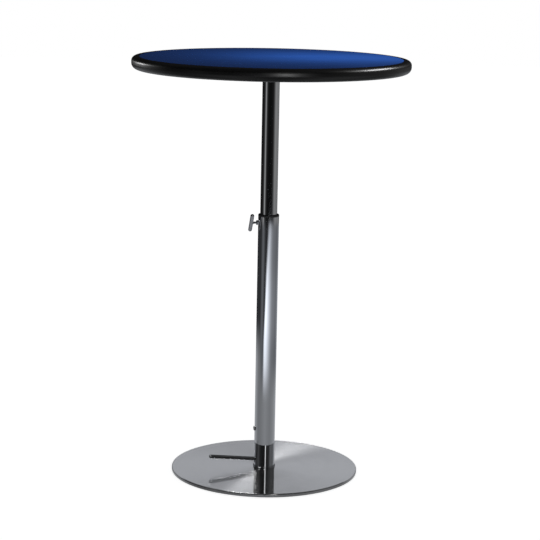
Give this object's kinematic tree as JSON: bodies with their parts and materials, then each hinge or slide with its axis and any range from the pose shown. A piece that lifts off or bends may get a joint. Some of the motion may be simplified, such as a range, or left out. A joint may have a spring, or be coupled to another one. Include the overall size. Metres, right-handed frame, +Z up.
{
  "type": "pedestal bar table",
  "caption": "Round adjustable-height pedestal bar table with a gas-lift chrome column, clamp handle, foot lever and brushed steel disc base.",
  "frame": {"origin": "on the floor, on the column's axis, at the centre of the round base", "axes": "+Z up along the column, the foot lever, the clamp handle and the column screw point along -X"},
  "size_m": [0.7111, 0.7112, 1.087],
  "materials": {
    "stainless": "circular brushed stainless steel",
    "chrome_tube": "polished chrome plate",
    "chrome_small": "bright plated steel",
    "zinc": "zinc-plated steel",
    "steel": "turned mild steel",
    "ballast": "black-painted plate",
    "cylinder_black": "satin black lacquer",
    "plate_black": "black powder coat",
    "rubber": "black rubber",
    "black_plastic": "moulded black nylon",
    "natural_nylon": "natural nylon",
    "edge_vinyl": "semi-gloss black vinyl",
    "blue_laminate": "deep blue high-pressure laminate",
    "backer": "dark phenolic backer",
    "particleboard": "raw particleboard"
  },
  "bodies": {
    "base": {"base_cover": "stainless", "ballast_plate": "ballast", "floor_ring": "rubber", "hub": "steel", "hub_bolts": "zinc", "trim_ring": "chrome_small", "outer_tube": "chrome_tube", "tube_screw": "zinc", "top_bush": "black_plastic", "weld_nut": "chrome_small", "gas_cylinder": "cylinder_black", "cylinder_gland": "black_plastic", "lever_pin": "zinc"},
    "lift_rod": {"piston_rod": "chrome_small", "piston": "steel", "piston_seal": "rubber", "rod_bumper": "rubber", "bearing_lower_race": "zinc", "bearing_balls": "chrome_small", "rod_clip": "steel"},
    "top": {"bearing_upper_race": "zinc", "rod_plug": "steel", "inner_tube": "chrome_tube", "slide_bush": "natural_nylon", "socket_collar": "plate_black", "collar_screws": "cylinder_black", "top_plate": "plate_black", "plate_screws": "zinc", "tabletop_core": "particleboard", "top_laminate": "blue_laminate", "backer_sheet": "backer", "edge_band": "edge_vinyl"},
    "brake": {"brake_pad": "natural_nylon"},
    "clamp_handle": {"clamp_screw": "chrome_small", "clamp_bar": "chrome_small"},
    "foot_lever": {"lever_rod": "chrome_small", "lever_collar": "chrome_small", "lever_block": "steel"},
    "valve_pin": {"release_pin": "chrome_small"}
  },
  "joints": [
    {"name": "height_slide", "type": "slide", "parent": "base", "child": "lift_rod", "axis": [0, 0, 1], "range_m": [-0.32, 0]},
    {"name": "top_swivel", "type": "hinge", "parent": "lift_rod", "child": "top", "pos_m": [0, 0, 0.8], "axis": [0, 0, 1], "continuous": true},
    {"name": "clamp_travel", "type": "slide", "parent": "base", "child": "brake", "axis": [-1, 0, 0], "range_m": [0, 0.002]},
    {"name": "clamp_turn", "type": "hinge", "parent": "brake", "child": "clamp_handle", "pos_m": [-0.0464, 0, 0.6634], "axis": [-1, 0, 0], "range_deg": [0, 720]},
    {"name": "lever_pivot", "type": "hinge", "parent": "base", "child": "foot_lever", "pos_m": [-0.013, 0, 0.02963], "axis": [0, -1, 0], "range_deg": [0, 8], "stiffness_Nm_per_rad": 1.2, "springref_deg": -6.88},
    {"name": "valve_travel", "type": "slide", "parent": "base", "child": "valve_pin", "axis": [0, 0, 1], "range_m": [0, 0.0019]}
  ],
  "couplings": [
    {"joint": "clamp_travel", "follows": "clamp_turn", "m_per_rad": 0.000159},
    {"joint": "valve_travel", "follows": "lever_pivot", "m_per_rad": 0.0132}
  ]
}
